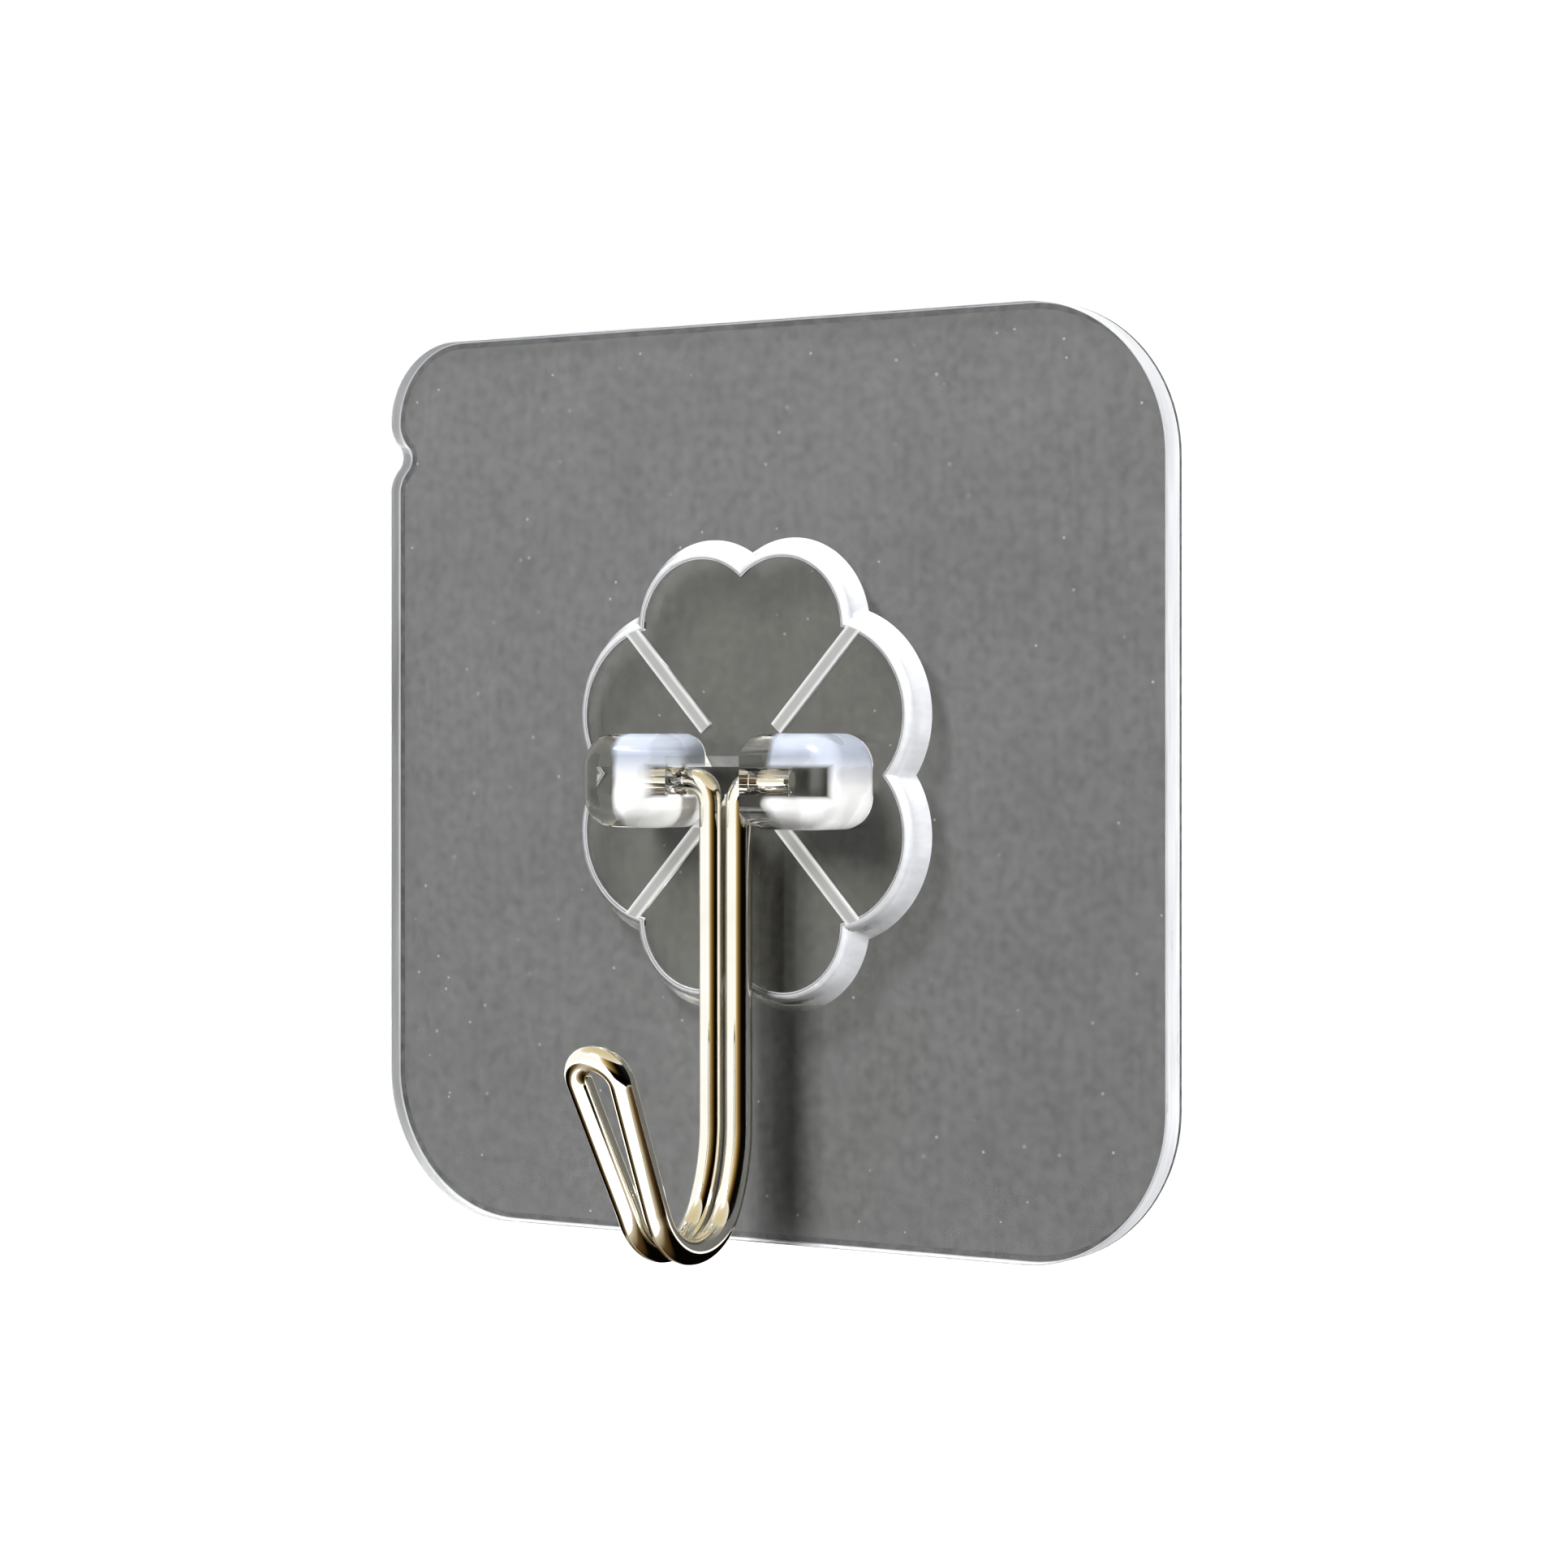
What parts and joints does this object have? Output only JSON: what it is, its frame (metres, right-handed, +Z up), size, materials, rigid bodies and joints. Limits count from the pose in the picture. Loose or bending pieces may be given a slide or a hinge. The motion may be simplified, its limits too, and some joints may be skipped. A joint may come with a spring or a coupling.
{
  "type": "adhesive wall hook",
  "caption": "Clear square adhesive wall plate with a clover-shaped seat whose ears carry a swinging bent-wire hook that ends in a small loop.",
  "frame": {"origin": "centre of the plate on the adhesive film's back face, which lies on the wall", "axes": "+Y into the wall, -Y out of the wall towards the user, +Z up, +X to the right of a person facing the wall"},
  "size_m": [0.06, 0.0206, 0.0604],
  "materials": {
    "adhesive": "grey self-adhesive film, satin, finely speckled",
    "clear_plate": "clear PVC, polished, with a rounded front edge",
    "clear_seat": "clear injection moulding, polished",
    "plated_wire": "bright nickel plate on bent steel wire"
  },
  "bodies": {
    "base": {"adhesive_film": "adhesive", "backing_plate": "clear_plate", "hook_seat": "clear_seat"},
    "hook": {"wire_hook": "plated_wire"}
  },
  "joints": [
    {"name": "hook_swing", "type": "hinge", "parent": "base", "child": "hook", "pos_m": [0, -0.0052, 0], "axis": [-1, 0, 0], "range_deg": [-3, 143]}
  ]
}
